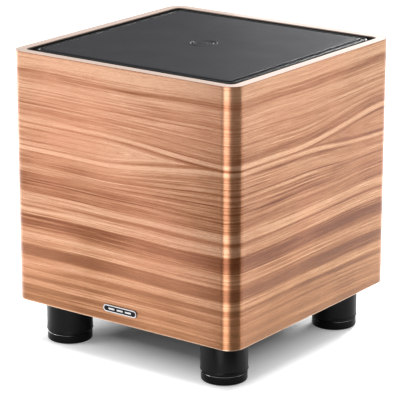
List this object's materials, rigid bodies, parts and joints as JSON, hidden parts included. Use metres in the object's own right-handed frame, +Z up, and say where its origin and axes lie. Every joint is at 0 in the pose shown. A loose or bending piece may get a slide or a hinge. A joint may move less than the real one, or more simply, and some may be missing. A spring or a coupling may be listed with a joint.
{
  "type": "subwoofer",
  "caption": "Compact cube subwoofer with walnut-veneered cabinet, inset leather top, turned black feet, down-firing drive unit and rear plate amplifier.",
  "frame": {"origin": "on the floor, under the middle of the cabinet", "axes": "+Z up, -Y out of the front face that carries the badge, +X to the right when looking at the front"},
  "size_m": [0.32, 0.3215, 0.3565],
  "materials": {
    "walnut_veneer": "satin lacquer",
    "walnut_lipping": "satin lacquer",
    "fibreboard": "raw",
    "black_painted_board": "matt black paint",
    "black_leather": "fine grained, semi-matt",
    "polished_metal": "polished",
    "foot_black": "satin black",
    "foot_ring_black": "semi-gloss black",
    "black_rubber": "matt",
    "zinc_steel": "zinc plated",
    "black_steel": "black oxide",
    "basket_black": "black powder coat",
    "cone_black": "pressed fibre, matt black",
    "spider_cloth": "resin-dipped cloth",
    "coil_former": "amber film",
    "copper": "enamelled copper wire",
    "ferrite": "dark grey, ground",
    "amp_black": "black anodised",
    "circuit_green": "solder mask",
    "capacitor_sleeve": "dark blue sleeve",
    "transformer_wrap": "yellow polyester wrap",
    "knob_black": "satin black",
    "black_plastic": "moulded black",
    "gold_plate": "bright plated",
    "white_plastic": "moulded white",
    "lamp_lens": "clear green",
    "fuse_glass": "clear",
    "lead_black": "soft black"
  },
  "bodies": {
    "cabinet": {"amp_gasket": "black_rubber", "amp_plate": "amp_black", "amp_screws": "black_steel", "board_posts": "zinc_steel", "bottom_baffle": "black_painted_board", "circuit_board": "circuit_green", "corner_posts": "fibreboard", "driver_basket": "basket_black", "driver_gasket": "black_rubber", "driver_screws": "black_steel", "driver_terminals": "copper", "filter_capacitors": "capacitor_sleeve", "foot_base_rings": "foot_ring_black", "foot_front_left": "foot_black", "foot_front_right": "foot_black", "foot_pads": "black_rubber", "foot_rear_left": "foot_black", "foot_rear_right": "foot_black", "foot_studs": "zinc_steel", "front_badge": "polished_metal", "front_panel": "fibreboard", "inlet_pins": "zinc_steel", "leather_cover": "black_leather", "leather_top_board": "fibreboard", "mains_inlet": "black_plastic", "phase_switch_body": "black_plastic", "phono_barrels": "gold_plate", "phono_contacts": "gold_plate", "phono_cores": "white_plastic", "potentiometers": "zinc_steel", "power_switch_body": "black_plastic", "rear_panel": "black_painted_board", "ring_magnet": "ferrite", "shelf_brace": "fibreboard", "side_panels": "fibreboard", "speaker_lead": "lead_black", "spider": "spider_cloth", "status_lamp": "lamp_lens", "surround": "black_rubber", "tinsel_leads": "copper", "top_board": "black_painted_board", "top_lipping": "walnut_lipping", "top_panel_screws": "zinc_steel", "top_plate": "zinc_steel", "toroidal_transformer": "transformer_wrap", "transformer_fixings": "zinc_steel", "veneer_wrap": "walnut_veneer", "yoke": "zinc_steel"},
    "cone_assembly": {"cone": "cone_black", "dust_cap": "cone_black", "voice_coil_former": "coil_former", "voice_coil_winding": "copper"},
    "level_control": {"level_knob": "knob_black", "level_shaft": "zinc_steel"},
    "crossover_control": {"crossover_knob": "knob_black", "crossover_shaft": "zinc_steel"},
    "phase_lever": {"phase_lever": "white_plastic"},
    "power_rocker": {"power_rocker": "black_plastic"},
    "fuse_drawer": {"fuse_drawer": "black_plastic", "fuse": "fuse_glass"}
  },
  "joints": [
    {"name": "cone_travel", "type": "slide", "parent": "cabinet", "child": "cone_assembly", "axis": [0, 0, 1], "range_m": [-0.008, 0.008], "stiffness_N_per_m": 3000, "deforming": ["surround", "spider", "tinsel_leads"]},
    {"name": "level_turn", "type": "hinge", "parent": "cabinet", "child": "level_control", "pos_m": [0.066, 0.15, 0.276], "axis": [0, 1, 0], "range_deg": [-150, 150]},
    {"name": "crossover_turn", "type": "hinge", "parent": "cabinet", "child": "crossover_control", "pos_m": [0.018, 0.15, 0.276], "axis": [0, 1, 0], "range_deg": [-150, 150]},
    {"name": "phase_slide", "type": "slide", "parent": "cabinet", "child": "phase_lever", "axis": [1, 0, 0], "range_m": [0, 0.005]},
    {"name": "power_rock", "type": "hinge", "parent": "cabinet", "child": "power_rocker", "pos_m": [-0.014, 0.1456, 0.138], "axis": [1, 0, 0], "range_deg": [-16, 0]},
    {"name": "fuse_drawer_slide", "type": "slide", "parent": "cabinet", "child": "fuse_drawer", "axis": [0, 1, 0], "range_m": [0, 0.015]}
  ]
}
